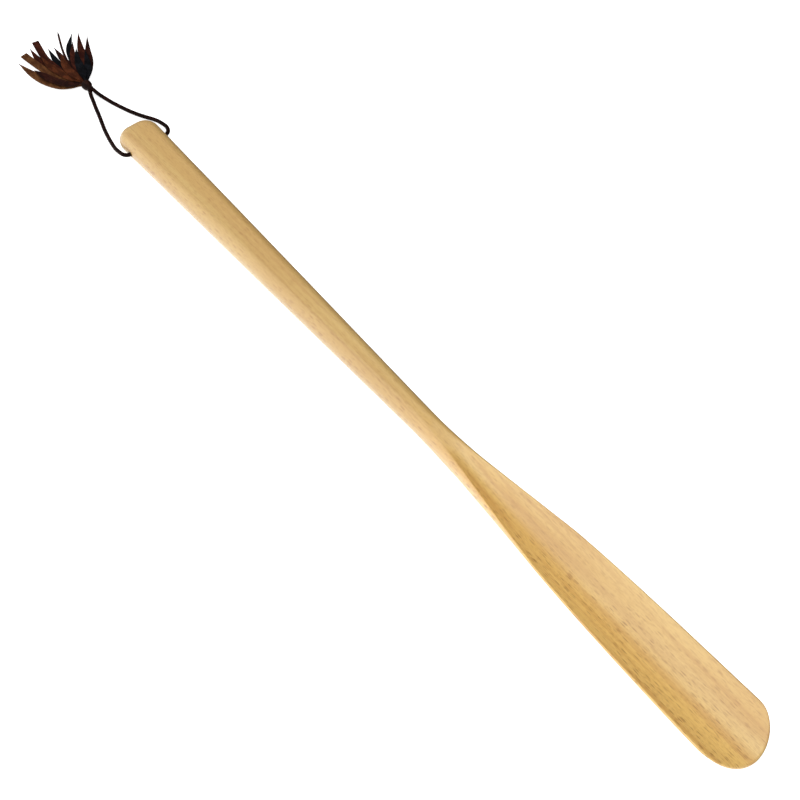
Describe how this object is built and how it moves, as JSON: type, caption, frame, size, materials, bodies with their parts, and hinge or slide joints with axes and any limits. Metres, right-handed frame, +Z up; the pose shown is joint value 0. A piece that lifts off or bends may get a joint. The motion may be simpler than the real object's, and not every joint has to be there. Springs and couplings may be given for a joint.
{
  "type": "long shoehorn",
  "caption": "Long beech shoehorn with a flat handle and a hollowed blade; a leather thong through a cross hole carries a leather tassel.",
  "frame": {"origin": "on the resting surface, under the middle of the wooden body's bounding box", "axes": "+X from the handle to the blade's tip, +Z up out of the hollow, +Y to the left when looking from the handle to the tip"},
  "size_m": [0.7005, 0.0539, 0.014],
  "materials": {
    "beech": "satin lacquered",
    "thong_leather": "dark brown, waxed",
    "cap_leather": "dark maroon brown, polished",
    "tan_leather": "matt",
    "brown_leather": "matt",
    "red_brown_leather": "matt",
    "dark_brown_leather": "matt",
    "black_leather": "matt"
  },
  "bodies": {
    "shoehorn": {"shoehorn_body": "beech"},
    "thong": {"hanging_thong": "thong_leather"},
    "tassel": {"stopper_knot": "thong_leather", "tassel_cap": "cap_leather", "fringe_strip_01": "red_brown_leather", "fringe_strip_02": "black_leather", "fringe_strip_03": "tan_leather", "fringe_strip_04": "black_leather", "fringe_strip_05": "dark_brown_leather", "fringe_strip_06": "dark_brown_leather", "fringe_strip_07": "tan_leather", "fringe_strip_08": "red_brown_leather", "fringe_strip_09": "dark_brown_leather", "fringe_strip_10": "red_brown_leather", "fringe_strip_11": "dark_brown_leather", "fringe_strip_12": "brown_leather", "fringe_strip_13": "red_brown_leather", "fringe_strip_14": "black_leather", "fringe_strip_15": "brown_leather", "fringe_strip_16": "black_leather"}
  },
  "joints": [
    {"name": "thong_swing", "type": "hinge", "parent": "shoehorn", "child": "thong", "pos_m": [-0.27, 0, 0.007], "axis": [0, 1, 0], "range_deg": [-150, 150]},
    {"name": "tassel_swing", "type": "hinge", "parent": "thong", "child": "tassel", "pos_m": [-0.3432, 0.0002, 0.00395], "axis": [0, 1, 0], "range_deg": [-45, 45]}
  ]
}
